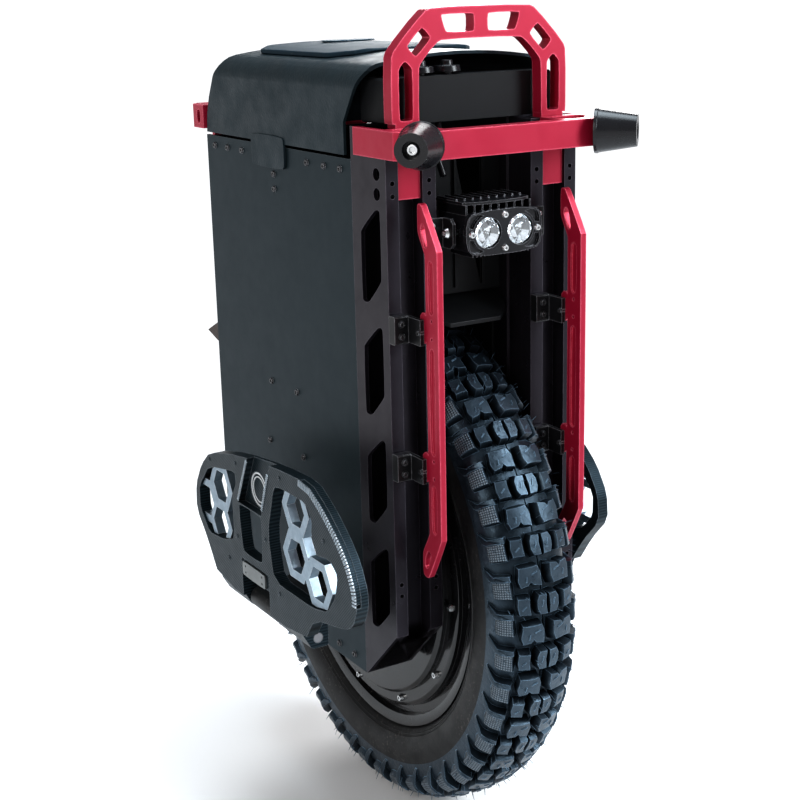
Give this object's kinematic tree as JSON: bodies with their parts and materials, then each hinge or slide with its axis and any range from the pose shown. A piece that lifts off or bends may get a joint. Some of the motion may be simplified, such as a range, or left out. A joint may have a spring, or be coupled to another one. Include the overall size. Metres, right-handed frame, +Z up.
{
  "type": "electric unicycle",
  "caption": "Self-balancing motor wheel between two battery walls, with fold-up pedals, arched carry handle, front guards, cone bumpers and a tilting headlight.",
  "frame": {"origin": "centre of the wheel, on the axle's axis", "axes": "+X along the axle to the rider's left, -Y to the front, +Z up"},
  "size_m": [0.333, 0.548, 0.8005],
  "materials": {
    "tyre_rubber": "matt, knobby",
    "gloss_black": "gloss",
    "black_rubber": "satin",
    "screw_steel": "bright zinc",
    "black_screws": "black oxide",
    "magnet_steel": "nickel plated",
    "bearing_steel": "ground",
    "stator_steel": "laminated",
    "copper_wire": "enamelled copper",
    "cast_black": "black, cast and machined",
    "inner_sheet": "dark anodised sheet",
    "dark_plastic": "moulded",
    "flap_plastic": "moulded, dusty",
    "pack_wrap": "heat-shrink sleeve",
    "black_anodised": "black anodised",
    "panel_paint": "satin powder coat",
    "shell_plastic": "fine leather grain",
    "deck_plastic": "gloss",
    "pad_plastic": "satin",
    "red_anodised": "red anodised, satin",
    "bracket_black": "satin",
    "light_black": "black anodised, finned",
    "reflector_chrome": "mirror",
    "lens_glass": "clear",
    "pedal_black": "textured powder coat",
    "insert_aluminium": "bright machined",
    "plate_grey": "satin"
  },
  "bodies": {
    "root": {"motor_cable": "black_rubber", "light_cable": "black_rubber", "bumper_left": "black_rubber", "bumper_right": "black_rubber", "bumper_screws": "screw_steel", "headlight_pivots": "screw_steel", "panel_screws": "black_screws", "guard_screws": "black_screws", "axle": "bearing_steel", "pedal_pins": "bearing_steel", "stator": "stator_steel", "windings": "copper_wire", "hanger_left": "cast_black", "hanger_right": "cast_black", "inner_plates": "inner_sheet", "fender": "dark_plastic", "front_cover": "dark_plastic", "rear_cover": "dark_plastic", "control_box": "dark_plastic", "mudflap": "flap_plastic", "battery_left": "pack_wrap", "battery_right": "pack_wrap", "front_post_left": "black_anodised", "front_post_right": "black_anodised", "rear_posts": "black_anodised", "side_panel_left": "panel_paint", "side_panel_right": "panel_paint", "top_shell": "shell_plastic", "top_deck": "deck_plastic", "deck_pad": "pad_plastic", "arch_handle": "red_anodised", "front_bar": "red_anodised", "rear_bar": "red_anodised", "guard_left": "red_anodised", "guard_right": "red_anodised", "guard_brackets": "bracket_black", "headlight_brackets": "bracket_black"},
    "wheel": {"tyre": "tyre_rubber", "rim": "gloss_black", "valve_stem": "black_rubber", "motor_cover_left": "gloss_black", "motor_cover_right": "gloss_black", "motor_cover_bolts": "screw_steel", "magnet_ring": "magnet_steel", "wheel_bearings": "bearing_steel"},
    "headlight": {"headlight_body": "light_black", "headlight_bezel": "light_black", "headlight_reflectors": "reflector_chrome", "headlight_lenses": "lens_glass", "headlight_bolts": "screw_steel"},
    "power_key": {"power_button": "black_rubber"},
    "light_key": {"light_button": "black_rubber"},
    "left_pedal": {"pedal_left": "pedal_black", "pedal_inserts_left": "insert_aluminium", "pedal_grip_left": "insert_aluminium", "pedal_plate_left": "plate_grey"},
    "right_pedal": {"pedal_right": "pedal_black", "pedal_inserts_right": "insert_aluminium", "pedal_grip_right": "insert_aluminium", "pedal_plate_right": "plate_grey"}
  },
  "joints": [
    {"name": "wheel_spin", "type": "hinge", "parent": "root", "child": "wheel", "pos_m": [0, 0, 0], "axis": [1, 0, 0], "continuous": true},
    {"name": "left_pedal_fold", "type": "hinge", "parent": "root", "child": "left_pedal", "pos_m": [0.148, 0, -0.03], "axis": [0, 1, 0], "range_deg": [0, 88]},
    {"name": "right_pedal_fold", "type": "hinge", "parent": "root", "child": "right_pedal", "pos_m": [-0.148, 0, -0.03], "axis": [0, -1, 0], "range_deg": [0, 88]},
    {"name": "headlight_tilt", "type": "hinge", "parent": "root", "child": "headlight", "pos_m": [0, -0.17, 0.352], "axis": [1, 0, 0], "range_deg": [-15, 15]},
    {"name": "power_button_press", "type": "slide", "parent": "root", "child": "power_key", "axis": [0, 0, -1], "range_m": [0, 0.0015]},
    {"name": "light_button_press", "type": "slide", "parent": "root", "child": "light_key", "axis": [0, 0, -1], "range_m": [0, 0.0015]}
  ]
}
